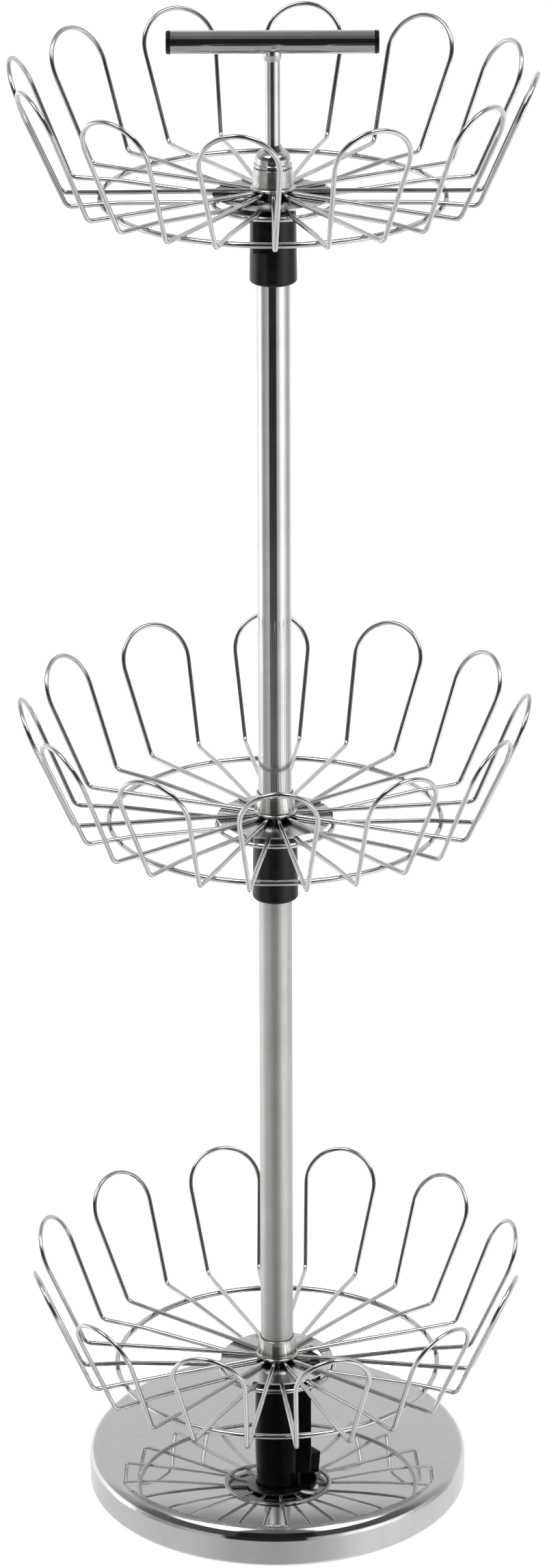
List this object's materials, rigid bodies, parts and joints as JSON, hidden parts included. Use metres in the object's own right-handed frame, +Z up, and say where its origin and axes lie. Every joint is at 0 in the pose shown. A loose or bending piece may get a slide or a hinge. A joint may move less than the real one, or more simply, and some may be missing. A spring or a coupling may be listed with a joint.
{
  "type": "rotating display rack",
  "caption": "Free-standing chrome pole on a weighted round base, with stacked spinning tiers of upright wire loops that hold shoes, and a carrying cross bar on top",
  "frame": {"origin": "on the floor, on the pole axis, under the middle of the base", "axes": "+Z up along the pole; the carrying bar lies along X; -Y is the front"},
  "size_m": [0.3332, 0.3332, 1.0109],
  "materials": {
    "chromed_wire": "bright chrome on round steel wire",
    "chromed_plate": "chromed pressing with a slightly dull surface",
    "satin_collar": "turned satin nickel",
    "satin_tube": "satin chromed tube",
    "polished_chrome": "polished chrome",
    "base_chrome": "mirror chrome pressing",
    "black_plastic": "black moulded plastic, semi-gloss",
    "grey_nylon": "natural grey nylon",
    "black_rubber": "black rubber sheet",
    "cast_weight": "cast cement weight",
    "zinc_steel": "zinc-plated steel"
  },
  "bodies": {
    "stand": {"base_ballast": "cast_weight", "base_cover": "base_chrome", "base_nut": "zinc_steel", "base_pad": "black_rubber", "base_plate": "zinc_steel", "base_post": "zinc_steel", "base_screws": "zinc_steel", "base_washer": "zinc_steel", "handle_bar": "polished_chrome", "handle_end_caps": "black_plastic", "handle_nut": "polished_chrome", "handle_rod": "polished_chrome", "lower_sleeve": "black_plastic", "lower_spindle": "zinc_steel", "lower_thrust_washer": "zinc_steel", "lower_tube": "satin_tube", "lower_tube_foot_plug": "grey_nylon", "lower_tube_head_plug": "grey_nylon", "middle_sleeve": "black_plastic", "middle_spindle": "zinc_steel", "middle_thrust_washer": "zinc_steel", "top_cap": "polished_chrome", "upper_sleeve": "black_plastic", "upper_spindle": "zinc_steel", "upper_thrust_washer": "zinc_steel", "upper_tube": "polished_chrome", "upper_tube_foot_plug": "grey_nylon", "upper_tube_head_plug": "grey_nylon"},
    "lower_tier": {"lower_bearing": "black_plastic", "lower_hub_collar": "satin_collar", "lower_hub_plate": "chromed_plate", "lower_hub_washer": "zinc_steel", "lower_inner_ring": "chromed_wire", "lower_loops": "chromed_wire", "lower_outer_ring": "chromed_wire"},
    "middle_tier": {"middle_bearing": "black_plastic", "middle_hub_collar": "satin_collar", "middle_hub_plate": "chromed_plate", "middle_hub_washer": "zinc_steel", "middle_inner_ring": "chromed_wire", "middle_loops": "chromed_wire", "middle_outer_ring": "chromed_wire"},
    "upper_tier": {"upper_bearing": "black_plastic", "upper_hub_collar": "satin_collar", "upper_hub_plate": "chromed_plate", "upper_hub_washer": "zinc_steel", "upper_inner_ring": "chromed_wire", "upper_loops": "chromed_wire", "upper_outer_ring": "chromed_wire"}
  },
  "joints": [
    {"name": "lower_tier_spin", "type": "hinge", "parent": "stand", "child": "lower_tier", "pos_m": [0, 0, 0.0911], "axis": [0, 0, 1], "continuous": true},
    {"name": "middle_tier_spin", "type": "hinge", "parent": "stand", "child": "middle_tier", "pos_m": [0, 0, 0.4881], "axis": [0, 0, 1], "continuous": true},
    {"name": "upper_tier_spin", "type": "hinge", "parent": "stand", "child": "upper_tier", "pos_m": [0, 0, 0.908], "axis": [0, 0, 1], "continuous": true}
  ]
}
